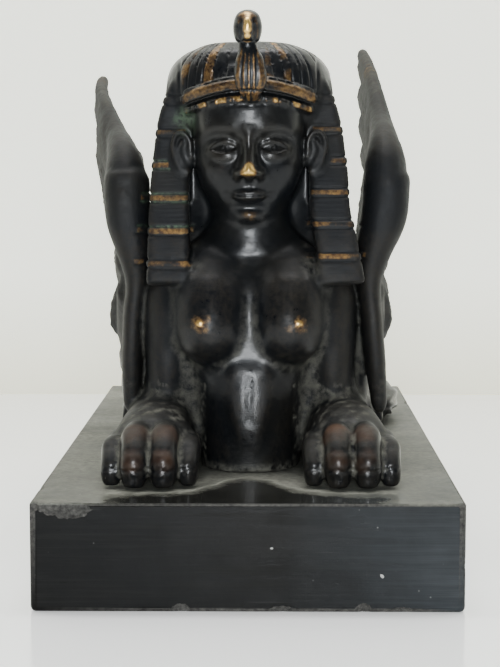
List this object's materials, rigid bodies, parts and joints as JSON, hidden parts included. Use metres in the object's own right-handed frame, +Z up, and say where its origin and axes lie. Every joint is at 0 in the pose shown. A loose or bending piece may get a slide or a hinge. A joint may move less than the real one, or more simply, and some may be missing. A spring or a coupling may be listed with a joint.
{
  "type": "sphinx statue",
  "caption": "Small bronze sphinx with raised wings and striped headdress, lying with its forepaws forward on a plain slate plinth.",
  "frame": {"origin": "centre of the plinth's underside", "axes": "+Z up, the figure looks along -Y, +X towards the figure's left side"},
  "size_m": [0.101, 0.21, 0.1416],
  "materials": {
    "sphinx_bronze": "dark brown-black patina, satin, rubbed bright in places",
    "plinth_slate": "honed near-black slate, dusty on top, chipped edges"
  },
  "bodies": {
    "root": {"sphinx": "sphinx_bronze", "plinth": "plinth_slate"}
  },
  "joints": []
}
